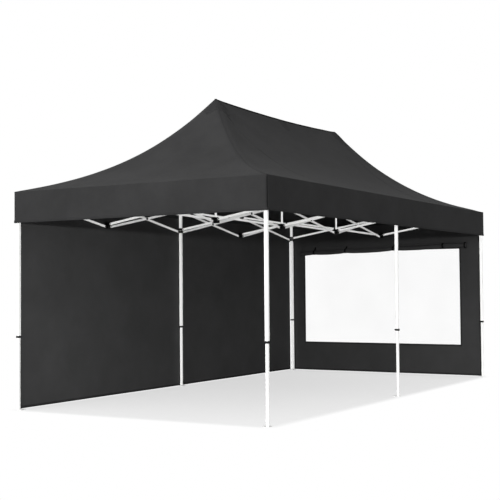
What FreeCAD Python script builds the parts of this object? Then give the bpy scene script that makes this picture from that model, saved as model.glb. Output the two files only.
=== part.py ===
import FreeCAD, Part
import math
import os

# Folding garden gazebo, nominal 6 m by 3 m, millimetres.
# +X runs along the long side, +Y from the open front to the walled rear, +Z up.
# The origin is on the ground, in the middle of the plan.
#
# Six telescopic legs stand in two rows of three. A lattice of scissor pairs
# joins them: three long rows of four pairs and five cross rows of two pairs.
# A vertex of the lattice is named by its column (-2 to 2, along X) and its
# row (-1 to 1, along Y), both counted in cells from the centre.

os.makedirs("parts", exist_ok=True)
doc = FreeCAD.newDocument("FoldingGazebo")
sheet = doc.addObject("Spreadsheet::Sheet", "Sheet")

DIMS = [
    # plan and heights
    ("half_short", 1465),               # centre to leg rows, along Y
    ("half_long", "=2 * half_short"),   # centre to end legs, along X
    ("cell", "=half_short"),            # vertex spacing of the lattice, both ways
    ("pivot_off", 45),                  # vertex axis to scissor pivot
    ("pivot_top", 2195),                # height of the upper pivots
    ("pivot_long", 1940),               # height of the long rows' lower pivots
    ("pivot_cross", 1968),              # height of the cross rows' lower pivots
    # legs
    ("leg_w", 32),
    ("leg_wall", 1.2),
    ("leg_foot", 736),                  # bottom of the outer tube
    ("leg_top", 2209),
    ("inner_w", 26),
    ("inner_wall", 1.2),
    ("inner_top", 1043),
    ("foot_w", 70),
    ("foot_thick", 4),
    ("corner_fillet", 3),
    # scissor bars
    ("bar_deep", 25),
    ("bar_thick", 12),
    ("bar_wall", 0.9),
    ("bar_gap", 1.5),                   # half of the gap between a pair's bars
    ("bar_end", 12.5),                  # pivot to the bar's end
    ("pin_dia", 8),
    ("pin_clear", 0.1),                 # hole diameter over pin diameter
    # moulded joints
    ("block_w", 46),
    ("hub_w", 62),
    ("tongue_deep", 24),
    ("tongue_thick", 8.5),
    ("slider_tall", 30),
    # collar and snap button
    ("collar_w", 40),
    ("collar_low", 732),
    ("collar_high", 754),
    ("button_dia", 7),
    ("button_head", 11),
    # poles
    ("pole_dia", 25),
    ("pole_wall", 1.2),
    ("peak_pole_top", 3200),
    ("ridge_pole_top", 3185),
    ("cap_dia", 46),
    # canopy
    ("canopy_half_x", 2962),
    ("canopy_half_y", 1497),
    ("canopy_thick", 3),
    ("eave", 2227),
    ("valance_low", 1908),
    ("peak", 3268),
    ("peak_x", 1457),
    ("ridge_sag", 35),                  # the ridge's drop at the centre
    ("roof_power", 2.7),                # exponent of the curved share of the rise
    ("roof_straight", 0.4),             # share of the rise that is straight
    # walls
    ("wall_thick", 2),
    ("wall_low", 6),
    ("wall_high", 2150),
    ("rear_wall_y", 1489.5),
    ("right_wall_x", 2954.5),
    ("window_low", 420),
    ("window_high", 1745),
    ("window_half", 1200),
    ("window_mid", 50),                 # the window sits off the wall's middle
    ("blind_dia", 72),
    ("blind_z", 1778),
]
for line, (name, value) in enumerate(DIMS, 1):
    sheet.set("A%d" % line, name)
    sheet.set("B%d" % line, str(value))
    sheet.setAlias("B%d" % line, name)
doc.recompute()


def dim(name):
    return float(getattr(sheet, name))


Vector, Placement, Rotation = FreeCAD.Vector, FreeCAD.Placement, FreeCAD.Rotation
ALONG_X, ALONG_Y, UP = (1, 0, 0), (0, 1, 0), (0, 0, 1)
nodes = {}
name_count = 0

# --------------------------------------------------------------------- helpers


def add(kind, prefix):
    """Adds an object with a numbered name."""
    global name_count
    name_count += 1
    return doc.addObject(kind, "%s_%03d" % (prefix, name_count))


def bind(obj, **sizes):
    """Binds each size to an expression, or to a number of millimetres."""
    for prop, size in sizes.items():
        obj.setExpression(prop, size if isinstance(size, str) else repr(float(size)) + " mm")


def box(length, width, height, at):
    """A box whose lowest corner is at `at`."""
    obj = add("Part::Box", "Box")
    bind(obj, Length=length, Width=width, Height=height)
    obj.Placement = Placement(Vector(*at), Rotation())
    return obj


def post(x, y, low, width, height, bound=None):
    """An upright square box centred on x, y. `bound` is the width's expression."""
    size = bound or width
    return box(size, size, height, (x - width / 2, y - width / 2, low))


def cyl(radius, height, at, along):
    """A cylinder that starts at `at` and runs along `along`."""
    obj = add("Part::Cylinder", "Cyl")
    bind(obj, Radius=radius, Height=height)
    obj.Placement = Placement(Vector(*at), Rotation(Vector(*UP), Vector(*along)))
    return obj


def fuse(parts, refine=True):
    if len(parts) == 1:
        return parts[0]
    obj = add("Part::MultiFuse", "Fuse")
    obj.Shapes = parts
    obj.Refine = refine
    return obj


def cut(base, tools):
    tool = fuse(tools, refine=False)
    obj = add("Part::Cut", "Cut")
    obj.Base = base
    obj.Tool = tool
    return obj


def fillet(base, radius, pick):
    """Rounds the edges of base that pick(edge) chooses."""
    doc.recompute()
    obj = add("Part::Fillet", "Fillet")
    obj.Base = base
    obj.Edges = [(k, radius, radius) for k, edge in enumerate(base.Shape.Edges, 1) if pick(edge)]
    return obj


def runs(edge, axis):
    """Whether an edge is open and its ends lie along the axis."""
    chord = edge.Vertexes[-1].Point.sub(edge.Vertexes[0].Point)
    return (len(edge.Vertexes) == 2 and chord.Length > 0
            and abs(chord.normalize().dot(Vector(*axis))) > 0.999)


def fillet_along(base, radius, axis):
    return fillet(base, radius, lambda edge: runs(edge, axis))


def copy(master, placement):
    obj = add("App::Link", "Link")
    obj.LinkedObject = master
    obj.LinkTransform = False
    obj.Placement = placement
    return obj


def node(name, parts):
    """Names a piece. Several solids stay separate in one compound."""
    if len(parts) == 1:
        obj = parts[0]
    else:
        obj = add("Part::Compound", "Group")
        obj.Links = parts
    obj.Label = name
    nodes[name] = obj


CELL = dim("cell")
PIVOT_OFF = dim("pivot_off")
PIVOT_TOP = dim("pivot_top")
PIVOT_LONG = dim("pivot_long")
PIVOT_CROSS = dim("pivot_cross")
COLUMNS = [("left_end", -2), ("left_bay", -1), ("centre", 0), ("right_bay", 1), ("right_end", 2)]
LEG_COLUMNS = [("left", -2), ("centre", 0), ("right", 2)]
LEG_ROWS = [("front", -1), ("rear", 1)]

# ---------------------------------------------------------------- scissor bars
SPAN = CELL - 2 * PIVOT_OFF         # between a pair's pivots, on plan
BAR_THICK = dim("bar_thick")
BAR_OFF = dim("bar_gap") + BAR_THICK / 2     # pair's mid-plane to a bar's middle
BAR_FACE = dim("bar_gap") + BAR_THICK        # pair's mid-plane to a bar's outer face
BAR_END_ROUND = 11.5
BAR_EDGE_ROUND = 2.0
BAR_SOLID_END = 20                  # pivot to the start of the bar's hollow
PIN_HOLE_LENGTH = 30
RIVET_OVER = 1                      # rivet shank past the bars, at each end
RIVET_HEAD_RADIUS = 7
RIVET_HEAD_TALL = 2.2
RIVET_HEAD_CLEAR = 0.3              # bar's outer face to the rivet head
PIN_RADIUS = "Sheet.pin_dia / 2"


def bar_pattern(z_low, label):
    """A hollow bar along X from pivot to pivot, with its thickness along Y."""
    length = math.hypot(SPAN, PIVOT_TOP - z_low)
    end, deep, wall = dim("bar_end"), dim("bar_deep"), dim("bar_wall")

    def rims_side_face(edge):
        return not runs(edge, ALONG_Y) and all(
            abs(abs(corner.Point.y) - BAR_THICK / 2) < 1e-6 for corner in edge.Vertexes)

    bar = box(length + 2 * end, "Sheet.bar_thick", "Sheet.bar_deep",
              (-end, -BAR_THICK / 2, -deep / 2))
    bar = fillet_along(bar, BAR_END_ROUND, ALONG_Y)
    bar = fillet(bar, BAR_EDGE_ROUND, rims_side_face)
    hollow = box(length - 2 * BAR_SOLID_END, "Sheet.bar_thick - 2 * Sheet.bar_wall",
                 "Sheet.bar_deep - 2 * Sheet.bar_wall",
                 (BAR_SOLID_END, -BAR_THICK / 2 + wall, -deep / 2 + wall))
    holes = [cyl("Sheet.pin_dia / 2 + Sheet.pin_clear / 2", PIN_HOLE_LENGTH,
                 (x, -PIN_HOLE_LENGTH / 2, 0), ALONG_Y)
             for x in (0, length / 2, length)]
    bar = cut(bar, [hollow] + holes)
    bar.Label = label
    return bar


def rivet_pattern():
    """The rivet through a pair's middle, along Y, with a low head at each end."""
    shank_half = BAR_FACE + RIVET_OVER
    head = BAR_FACE + RIVET_HEAD_CLEAR
    rivet = fuse([
        cyl(PIN_RADIUS, 2 * shank_half, (0, -shank_half, 0), ALONG_Y),
        cyl(RIVET_HEAD_RADIUS, RIVET_HEAD_TALL, (0, head, 0), ALONG_Y),
        cyl(RIVET_HEAD_RADIUS, RIVET_HEAD_TALL, (0, -head - RIVET_HEAD_TALL, 0), ALONG_Y),
    ])
    rivet.Label = "rivet_pattern"
    return rivet


def pair(column, row, along_x, z_low):
    """Placements of the falling bar, the rising bar and the rivet of the pair that
    starts at a vertex and runs to the next one along +X or +Y.
    The falling bar starts at the upper pivot, the rising bar at the lower one."""
    angle = math.degrees(math.atan2(PIVOT_TOP - z_low, SPAN))
    x, y = column * CELL, row * CELL
    if along_x:
        base = Placement(Vector(x + PIVOT_OFF, y, 0), Rotation())
    else:
        base = Placement(Vector(x, y + PIVOT_OFF, 0), Rotation(Vector(*UP), 90))

    def inside(x, y, z, tilt):
        turn = Rotation(Vector(*ALONG_Y), tilt)
        return base.multiply(Placement(Vector(x, y, z), turn))

    return (inside(0, BAR_OFF, PIVOT_TOP, angle),
            inside(0, -BAR_OFF, z_low, -angle),
            inside(SPAN / 2, 0, (PIVOT_TOP + z_low) / 2, 0))


long_bar = bar_pattern(PIVOT_LONG, "long_bar_pattern")
cross_bar = bar_pattern(PIVOT_CROSS, "cross_bar_pattern")
rivet = rivet_pattern()

# Long rows. Seen from the centre, the "down" bar starts at the upper pivot.
for side, starts in (("right", (0, 1)), ("left", (-1, -2))):
    for reach, start in zip(("inner", "outer"), starts):
        down, up = [], []
        for row in (-1, 0, 1):
            falling, rising, middle = pair(start, row, True, PIVOT_LONG)
            if side == "left":
                falling, rising = rising, falling
            down += [copy(long_bar, falling), copy(rivet, middle)]
            up.append(copy(long_bar, rising))
        node("long_bars_down_%s_%s" % (side, reach), down)
        node("long_bars_up_%s_%s" % (side, reach), up)

# Cross rows, one per column.
for name, column in COLUMNS:
    parts = []
    for row in (-1, 0):
        falling, rising, middle = pair(column, row, False, PIVOT_CROSS)
        parts += [copy(cross_bar, falling), copy(cross_bar, rising), copy(rivet, middle)]
    node("cross_bars_" + name, parts)

# -------------------------------------------------------------- moulded joints
# A joint is a block at a vertex with one tongue, pin and rivet head for each
# scissor pair that meets it.
TONGUE_START = 18       # vertex axis to the tongue's root, inside the block
TONGUE_OVER = 0.5       # tongue past the pair's mid-plane, towards its bar
PIN_OVER = 0.8          # pin past the bar's outer face
BLOCK_ROUND = 6.0
UPPER_DROP = 28         # upper pivots to the bottom of their blocks
UPPER_OVER = 4          # block top above the leg top
SLIDER_PIVOT = 13       # lower pivots to the nearer end of their blocks
LEG_CLEAR_UPPER = 0.4   # width of the leg's hole over the leg
LEG_CLEAR_LOWER = 1.0
LEG_HOLE_ROOF = 3       # thickness left over the leg in an upper joint
POLE_CLEAR = 0.1        # radius of the pole's hole over the pole
POLE_CLEAR_LONG = 3     # more of the same in the long sliders
POLE_FLOOR = 6          # thickness left under the pole's hole in a lower joint
PLAIN_HOLE_RADIUS = 9   # blind hole in joints without a leg or pole
PLAIN_HOLE_SKIN = 4     # thickness left at that hole's closed end


def tongue(x, y, z, direction, upper):
    """The tongue towards `direction`, (+-1, 0) or (0, +-1), with its pin and head.
    Upper joints hold the falling bar on their plus side and the rising bar on
    their minus side; lower joints the other way round."""
    along_x = direction[0] != 0
    outward = sum(direction)
    falling = (outward > 0) == upper
    # the falling bar is on the +Y side of a pair along X, the -X side of one along Y
    bar_side = 1 if falling == along_x else -1
    across = ALONG_Y if along_x else ALONG_X
    deep, back = dim("tongue_deep"), TONGUE_OVER - dim("tongue_thick")

    def spot(forward, near, far, height):
        """The lower end of the range near to far, measured towards the bar."""
        low = min(bar_side * near, bar_side * far)
        if along_x:
            return (x + forward, y + low, height)
        return (x + low, y + forward, height)

    def disc(radius, near, far, length=None):
        return cyl(radius, length or far - near,
                   spot(outward * PIVOT_OFF, near, far, z), across)

    plan = [PIVOT_OFF - TONGUE_START, "Sheet.tongue_thick"]
    if not along_x:
        plan.reverse()
    root = TONGUE_START if outward > 0 else -PIVOT_OFF
    head = BAR_FACE + RIVET_HEAD_CLEAR
    return [
        box(*plan, "Sheet.tongue_deep", spot(root, back, TONGUE_OVER, z - deep / 2)),
        disc("Sheet.tongue_deep / 2", back, TONGUE_OVER, "Sheet.tongue_thick"),
        disc(PIN_RADIUS, back, BAR_FACE + PIN_OVER),
        disc(RIVET_HEAD_RADIUS, head, head + RIVET_HEAD_TALL),
    ]


def joint_hole(column, row, low, high, kind):
    """The hole for the leg or pole at a vertex, or a blind hole where there is none."""
    x, y = column * CELL, row * CELL
    upper = kind == "upper"
    tall = high - low
    if row != 0 and column in (-2, 0, 2):
        width = dim("leg_w") + (LEG_CLEAR_UPPER if upper else LEG_CLEAR_LOWER)
        top = high - LEG_HOLE_ROOF if upper else high + 1
        return post(x, y, low - 1, width, top - (low - 1))
    if row == 0 and abs(column) < 2:
        radius = dim("pole_dia") / 2 + POLE_CLEAR
        if upper:
            return cyl(radius, tall + 2, (x, y, low - 1), UP)
        if kind == "long":
            radius += POLE_CLEAR_LONG
        return cyl(radius, tall + 1, (x, y, low + POLE_FLOOR), UP)
    skin = -PLAIN_HOLE_SKIN if upper else PLAIN_HOLE_SKIN
    return cyl(PLAIN_HOLE_RADIUS, tall, (x, y, low + skin), UP)


def joint(column, row, low, high, pivot, kind):
    x, y = column * CELL, row * CELL
    alias = "hub_w" if row == 0 and abs(column) < 2 else "block_w"
    block = post(x, y, low, dim(alias), high - low, "Sheet." + alias)
    parts = [fillet_along(block, BLOCK_ROUND, UP)]
    directions = []
    if kind != "cross":
        directions += [(step, 0) for step in (-1, 1) if abs(column + step) <= 2]
    if kind != "long":
        directions += [(0, step) for step in (-1, 1) if abs(row + step) <= 1]
    for direction in directions:
        parts += tongue(x, y, pivot, direction, kind == "upper")
    return cut(fuse(parts), [joint_hole(column, row, low, high, kind)])


CROSS_LOW = PIVOT_CROSS - SLIDER_PIVOT
LONG_HIGH = PIVOT_LONG + SLIDER_PIVOT
JOINTS = [
    # name, bottom, top, pivot height, kind
    ("upper_joints_", PIVOT_TOP - UPPER_DROP, dim("leg_top") + UPPER_OVER, PIVOT_TOP, "upper"),
    ("cross_joints_", CROSS_LOW, CROSS_LOW + dim("slider_tall"), PIVOT_CROSS, "cross"),
    ("long_sliders_", LONG_HIGH - dim("slider_tall"), LONG_HIGH, PIVOT_LONG, "long"),
]
for column_name, column in COLUMNS:
    for name, low, high, pivot, kind in JOINTS:
        node(name + column_name,
             [joint(column, row, low, high, pivot, kind) for row in (-1, 0, 1)])

# ------------------------------------------------------------------------ legs
BUTTON_Z = 744
BUTTON_HOLE_RADIUS = "Sheet.button_dia / 2 + 0.3"
BUTTON_HOLE_START = 10      # leg axis to the start of the outer tube's hole
STEM_START = 19.5           # leg axis to the button's tip
STEM_LENGTH = 12
HEAD_START = 31.2           # leg axis to the button's head
HEAD_TALL = 2.5
INNER_ROUND = 2.5
FOOT_ROUND = 8.0
FOOT_OUT = 17               # leg axis to the foot plate's outer edges
FOOT_HOLE_RADIUS = 5
FOOT_HOLE_X, FOOT_HOLE_Y = 20, 22      # from the plate's centre
COLLAR_ROUND = 4.5
COLLAR_LEG_CLEAR = 0.4
COLLAR_INNER_CLEAR = 1.0
COLLAR_HOLE_TALL = 80
COLLAR_LEG_SEAT = 0.5       # outer tube's hole below the tube
BOSS_W, BOSS_DEEP = 16, 10
BOSS_OUT = 22               # leg axis to the boss's middle
BOSS_ROUND = 3.0


def leg_outer(x, y, inward):
    """The outer tube. Its button hole faces the middle of the tent."""
    width, foot = dim("leg_w"), dim("leg_foot")
    tube = post(x, y, foot, width, "Sheet.leg_top - Sheet.leg_foot", "Sheet.leg_w")
    tube = fillet_along(tube, dim("corner_fillet"), UP)
    hollow = post(x, y, foot - 1, width - 2 * dim("leg_wall"),
                  "Sheet.leg_top - Sheet.leg_foot + 2", "Sheet.leg_w - 2 * Sheet.leg_wall")
    hole = cyl(BUTTON_HOLE_RADIUS, 12,
               (x, y + inward * BUTTON_HOLE_START, BUTTON_Z), (0, inward, 0))
    return cut(tube, [hollow, hole])


def leg_inner(column, x, y, inward):
    """The inner tube and its foot plate, which reaches inwards from the leg."""
    width = dim("inner_w")
    tube = post(x, y, 0, width, "Sheet.inner_top", "Sheet.inner_w")
    tube = fillet_along(tube, INNER_ROUND, UP)
    hollow = post(x, y, dim("foot_thick"), width - 2 * dim("inner_wall"),
                  "Sheet.inner_top", "Sheet.inner_w - 2 * Sheet.inner_wall")
    tube = cut(tube, [hollow])

    inward_x = (column < 0) - (column > 0)
    shift = dim("foot_w") / 2 - FOOT_OUT
    plate_x, plate_y = x + inward_x * shift, y + inward * shift
    plate = post(plate_x, plate_y, 0, dim("foot_w"), "Sheet.foot_thick", "Sheet.foot_w")
    plate = fillet_along(plate, FOOT_ROUND, UP)
    hole_x = plate_x + (inward_x or 1) * FOOT_HOLE_X
    hole_y = plate_y + inward * FOOT_HOLE_Y
    plate = cut(plate, [cyl(FOOT_HOLE_RADIUS, 20, (hole_x, hole_y, -8), UP)])
    return fuse([tube, plate])


def leg_button(x, y, inward):
    """The snap button: stem and head, pointing to the middle of the tent."""
    facing = (0, inward, 0)
    stem = cyl("Sheet.button_dia / 2", STEM_LENGTH,
               (x, y + inward * STEM_START, BUTTON_Z), facing)
    head = cyl("Sheet.button_head / 2", HEAD_TALL,
               (x, y + inward * HEAD_START, BUTTON_Z), facing)
    return fuse([stem, head])


def leg_collar(x, y, inward):
    """The collar at the outer tube's foot, with a boss around the button."""
    low = dim("collar_low")
    body = post(x, y, low, dim("collar_w"), "Sheet.collar_high - Sheet.collar_low",
                "Sheet.collar_w")
    body = fillet_along(body, COLLAR_ROUND, UP)
    boss = box(BOSS_W, BOSS_DEEP, BOSS_W,
               (x - BOSS_W / 2, y + inward * BOSS_OUT - BOSS_DEEP / 2, BUTTON_Z - BOSS_W / 2))
    boss = fillet_along(boss, BOSS_ROUND, ALONG_Y)
    body = fuse([body, boss])
    return cut(body, [
        post(x, y, dim("leg_foot") - COLLAR_LEG_SEAT, dim("leg_w") + COLLAR_LEG_CLEAR,
             COLLAR_HOLE_TALL),
        post(x, y, low - 5, dim("inner_w") + COLLAR_INNER_CLEAR, COLLAR_HOLE_TALL),
        cyl(BUTTON_HOLE_RADIUS, 40, (x, y, BUTTON_Z), (0, inward, 0)),
    ])


for side, column in LEG_COLUMNS:
    x = column * CELL
    for row_name, row in LEG_ROWS:
        y = row * CELL
        where = "%s_%s" % (row_name, side)
        node("leg_outer_" + where, [leg_outer(x, y, -row)])
        node("leg_inner_" + where, [leg_inner(column, x, y, -row)])
        node("leg_button_" + where, [leg_button(x, y, -row)])
    node("leg_collars_" + side, [leg_collar(x, row * CELL, -row) for _, row in LEG_ROWS])

# ----------------------------------------------------------------------- poles
POLE_LOW = CROSS_LOW + POLE_FLOOR + 0.5     # just above the floor of the pole's hole
TUBE_DROP = 12          # nominal pole top to the tube's end
PLUG_RADIUS, PLUG_TALL, PLUG_DROP = 11, 30, 40
CAP_TALL = 10
CAP_DROP = 11.5         # nominal pole top to the cap's underside
CAP_ROUND = 4.0


def pole(column, alias):
    """A tube and, as a second solid, its round cap with a plug inside the tube."""
    x, top = column * CELL, dim(alias)
    length = top - TUBE_DROP - POLE_LOW
    tube = cut(cyl("Sheet.pole_dia / 2", length, (x, 0, POLE_LOW), UP),
               [cyl("Sheet.pole_dia / 2 - Sheet.pole_wall", length + 2, (x, 0, POLE_LOW - 1), UP)])
    cap_top = top - CAP_DROP + CAP_TALL
    cap = fuse([cyl(PLUG_RADIUS, PLUG_TALL, (x, 0, top - PLUG_DROP), UP),
                cyl("Sheet.cap_dia / 2", CAP_TALL, (x, 0, top - CAP_DROP), UP)])
    cap = fillet(cap, CAP_ROUND, lambda edge: len(edge.Vertexes) == 1
                 and abs(edge.Vertexes[0].Point.z - cap_top) < 1e-6)
    return [tube, cap]


node("peak_pole_left", pole(-1, "peak_pole_top"))
node("ridge_pole_centre", pole(0, "ridge_pole_top"))
node("peak_pole_right", pole(1, "peak_pole_top"))

# ---------------------------------------------------------------------- canopy
# One closed sheet: a concave hipped roof with two peaks, and a straight valance.
HALF_X, HALF_Y, PEAK_X = dim("canopy_half_x"), dim("canopy_half_y"), dim("peak_x")
HIP_BLEND = 0.035       # range over which the hips are softened
RIDGE_STEPS = (0, 0.35, 0.7, 1)                         # centre to peak
SLOPE_STEPS = (0.06, 0.16, 0.3, 0.46, 0.64, 0.82, 1.0)  # peak or ridge to eave


def soft_min(first, second):
    blend = max(HIP_BLEND - abs(first - second), 0.0) / HIP_BLEND
    return min(first, second) - blend * blend * HIP_BLEND * 0.25


def roof(x, y):
    """Height of the roof's upper face."""
    rise_x = min(1.0, max(0.0, (HALF_X - abs(x)) / (HALF_X - PEAK_X)))
    rise = max(0.0, 1.0 - abs(y) / HALF_Y)
    top = dim("peak")
    if abs(x) > PEAK_X:
        rise = max(0.0, soft_min(rise_x, rise)) if rise_x > 0 and rise > 0 else 0.0
    else:
        top -= dim("ridge_sag") * (1 - (x / PEAK_X) ** 2)
    straight = dim("roof_straight")
    lift = straight * rise + (1 - straight) * rise ** dim("roof_power")
    return dim("eave") + (top - dim("eave")) * lift


def mirrored(stations):
    return sorted(set([-place for place in stations] + stations))


def roof_points(xs, ys, inset):
    """Grid of roof points, drawn in at the rim and lowered by `inset`."""
    def clamp(place, half):
        return max(-half + inset, min(half - inset, place))

    return [[Vector(clamp(x, HALF_X), clamp(y, HALF_Y), roof(x, y) - inset) for y in ys]
            for x in xs]


def face(*corners):
    return Part.Face(Part.makePolygon([*corners, corners[0]]))


def canopy_solid():
    xs = mirrored([PEAK_X * step for step in RIDGE_STEPS]
                  + [PEAK_X + (HALF_X - PEAK_X) * step for step in SLOPE_STEPS])
    ys = mirrored([0] + [HALF_Y * step for step in SLOPE_STEPS])
    outer = roof_points(xs, ys, 0)
    inner = roof_points(xs, ys, dim("canopy_thick"))
    last_x, last_y = len(xs) - 1, len(ys) - 1
    faces = []
    # each cell is split along the diagonal that runs with the nearby hip
    for points in (outer, inner):
        for i in range(last_x):
            for j in range(last_y):
                near, right = points[i][j], points[i + 1][j]
                far, left = points[i + 1][j + 1], points[i][j + 1]
                if (xs[i] + xs[i + 1]) * (ys[j] + ys[j + 1]) < 0:
                    faces += [face(near, right, left), face(right, far, left)]
                else:
                    faces += [face(near, right, far), face(near, far, left)]

    def dropped(point):
        return Vector(point.x, point.y, dim("valance_low"))

    # valance: outer face, inner face and bottom edge for each step round the rim
    rim = ([(i, 0) for i in range(last_x + 1)]
           + [(last_x, j) for j in range(1, last_y + 1)]
           + [(i, last_y) for i in range(last_x - 1, -1, -1)]
           + [(0, j) for j in range(last_y - 1, 0, -1)])
    for (i, j), (next_i, next_j) in zip(rim, rim[1:] + rim[:1]):
        out_a, out_b = outer[i][j], outer[next_i][next_j]
        in_a, in_b = inner[i][j], inner[next_i][next_j]
        faces += [face(out_a, out_b, dropped(out_b), dropped(out_a)),
                  face(in_a, in_b, dropped(in_b), dropped(in_a)),
                  face(dropped(out_a), dropped(out_b), dropped(in_b), dropped(in_a))]
    solid = Part.Solid(Part.Shell(faces))
    if solid.Volume < 0:
        solid.reverse()
    return solid


canopy = doc.addObject("Part::Feature", "Canopy")
canopy.Shape = canopy_solid()
node("canopy", [canopy])

# ------------------------------------------------------- walls, window, blind
REAR_MARGIN = 18        # leg axis to the rear wall's ends
RIGHT_MARGIN = 15       # leg axis to the right wall's ends
WINDOW_ROUND = 30.0
WINDOW_CUT = 20
PANE_THICK = 0.6
PANE_GAP = 0.5          # all round, inside the window's opening
PANE_ROUND = 29.0
BLIND_CLEAR = 3         # wall's inner face to the rolled blind
BLIND_OVER = 85         # blind past the window's half width, at each end
BLIND_SHIFT = -35       # window's middle to the blind's middle
TIE_YS = (1070, 560, -190, -930)
RING_WIDE, RING_CUT = 24, 30
TOGGLE_RADIUS, TOGGLE_LENGTH = 6, 44
TOGGLE_OFF = 10         # blind's surface to the toggle's axis

WALL_X, WALL_THICK = dim("right_wall_x"), dim("wall_thick")
WINDOW_START = dim("window_mid") - dim("window_half")
WALL_TALL = "Sheet.wall_high - Sheet.wall_low"

node("rear_wall", [box("2 * Sheet.half_long - 36", "Sheet.wall_thick", WALL_TALL,
                       (-dim("half_long") + REAR_MARGIN, dim("rear_wall_y"), dim("wall_low")))])

panel = box("Sheet.wall_thick", "2 * Sheet.half_short - 30", WALL_TALL,
            (WALL_X, -dim("half_short") + RIGHT_MARGIN, dim("wall_low")))
opening = box(WINDOW_CUT, "2 * Sheet.window_half", "Sheet.window_high - Sheet.window_low",
              (WALL_X + (WALL_THICK - WINDOW_CUT) / 2, WINDOW_START, dim("window_low")))
opening = fillet_along(opening, WINDOW_ROUND, ALONG_X)
node("right_wall", [cut(panel, [opening])])

pane = box(PANE_THICK, "2 * Sheet.window_half - 1", "Sheet.window_high - Sheet.window_low - 1",
           (WALL_X + (WALL_THICK - PANE_THICK) / 2, WINDOW_START + PANE_GAP,
            dim("window_low") + PANE_GAP))
node("window_pane", [fillet_along(pane, PANE_ROUND, ALONG_X)])

blind_radius, blind_z = dim("blind_dia") / 2, dim("blind_z")
blind_x = WALL_X - blind_radius - BLIND_CLEAR
node("window_blind", [cyl("Sheet.blind_dia / 2", "2 * Sheet.window_half + 170",
                          (blind_x, WINDOW_START + BLIND_SHIFT - BLIND_OVER, blind_z), ALONG_Y)])

# each tie is a ring round the blind and a toggle on its side towards the tent
ties = []
for y in TIE_YS:
    ring = cut(cyl("Sheet.blind_dia / 2 + 1.6", RING_WIDE,
                   (blind_x, y - RING_WIDE / 2, blind_z), ALONG_Y),
               [cyl("Sheet.blind_dia / 2 + 0.4", RING_CUT,
                    (blind_x, y - RING_CUT / 2, blind_z), ALONG_Y)])
    toggle = cyl(TOGGLE_RADIUS, TOGGLE_LENGTH,
                 (blind_x - blind_radius - TOGGLE_OFF, y - TOGGLE_LENGTH / 2, blind_z), ALONG_Y)
    ties += [ring, toggle]
node("blind_ties", ties)

# --------------------------------------------------------------- check, export
doc.recompute()
bad = []
for obj in doc.Objects:
    state = [word for word in obj.State if word in ("Invalid", "Error")]
    if state:
        bad.append("%s (%s): %s" % (obj.Name, obj.Label, state))
for name, obj in nodes.items():
    shape = Part.getShape(obj)
    if shape.isNull() or not shape.isValid() or not shape.Solids:
        bad.append("%s: null, invalid or no solid" % name)
    if obj.Label != name:
        bad.append("%s: its label became %s" % (name, obj.Label))
if bad:
    raise RuntimeError("\n".join(bad))
for name, obj in nodes.items():
    Part.getShape(obj).exportStep("parts/%s.step" % name)
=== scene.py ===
# A folding gazebo: a hipped fabric canopy with a valance on a white scissor frame, a full wall
# along the rear, and a wall with a clear window and a rolled-up blind at the right end.
# It stands on z = 0 centred on the origin, its length along x (right is +x) and its rear at +y.
import math

import bmesh
import bpy
import numpy as np
from mathutils import Matrix, Vector, noise


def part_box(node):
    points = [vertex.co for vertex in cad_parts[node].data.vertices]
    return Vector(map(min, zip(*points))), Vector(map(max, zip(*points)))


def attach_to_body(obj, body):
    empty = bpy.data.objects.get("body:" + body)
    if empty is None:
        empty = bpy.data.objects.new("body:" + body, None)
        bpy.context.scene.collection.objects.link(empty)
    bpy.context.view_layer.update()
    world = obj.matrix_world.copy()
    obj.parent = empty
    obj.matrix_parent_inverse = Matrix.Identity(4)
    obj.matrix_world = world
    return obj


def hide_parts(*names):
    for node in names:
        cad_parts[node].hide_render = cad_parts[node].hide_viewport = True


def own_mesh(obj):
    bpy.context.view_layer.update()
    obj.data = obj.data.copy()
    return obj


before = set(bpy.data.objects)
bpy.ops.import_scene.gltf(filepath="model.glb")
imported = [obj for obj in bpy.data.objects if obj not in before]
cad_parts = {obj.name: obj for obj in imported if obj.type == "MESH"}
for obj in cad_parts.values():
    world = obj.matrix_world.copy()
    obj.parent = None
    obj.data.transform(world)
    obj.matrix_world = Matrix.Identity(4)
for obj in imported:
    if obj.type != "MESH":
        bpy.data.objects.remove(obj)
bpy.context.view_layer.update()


# ------------------------------------------------------------ shader helpers
def set_inputs(tree, target, inputs):
    """Links each input that is given a socket, and sets each one that is given a value."""
    for key, value in inputs.items():
        if isinstance(value, bpy.types.NodeSocket):
            tree.links.new(value, target.inputs[key])
        else:
            target.inputs[key].default_value = value


def node(tree, kind, inputs=None, **settings):
    made = tree.nodes.new("ShaderNode" + kind)
    for key, value in settings.items():
        setattr(made, key, value)
    set_inputs(tree, made, inputs or {})
    return made


def calc(tree, operation, *values, clamp=False):
    made = node(tree, "Math", dict(enumerate(values)), operation=operation, use_clamp=clamp)
    return made.outputs[0]


def noise_map(tree, place, **inputs):
    return node(tree, "TexNoise", {"Vector": place, **inputs}).outputs["Fac"]


def ramp(tree, source, *stops, interpolation="LINEAR"):
    """Colour ramp through two (position, grey or RGB) stops."""
    made = node(tree, "ValToRGB", {0: source})
    made.color_ramp.interpolation = interpolation
    for element, (position, shade) in zip(made.color_ramp.elements, stops):
        rgb = shade if isinstance(shade, tuple) else (shade,) * 3
        element.position = position
        element.color = (*rgb, 1)
    return made.outputs[0]


def mix_colour(tree, mask, colour, over):
    """Lays the RGB value over on a colour where the mask is 1."""
    inputs = {0: mask, 6: colour, 7: (*over, 1)}
    return node(tree, "Mix", inputs, data_type="RGBA").outputs[2]


def bump(tree, height, strength, distance, normal=None):
    inputs = {"Height": height, "Strength": strength, "Distance": distance}
    if normal is not None:
        inputs["Normal"] = normal
    return node(tree, "Bump", inputs).outputs[0]


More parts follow.
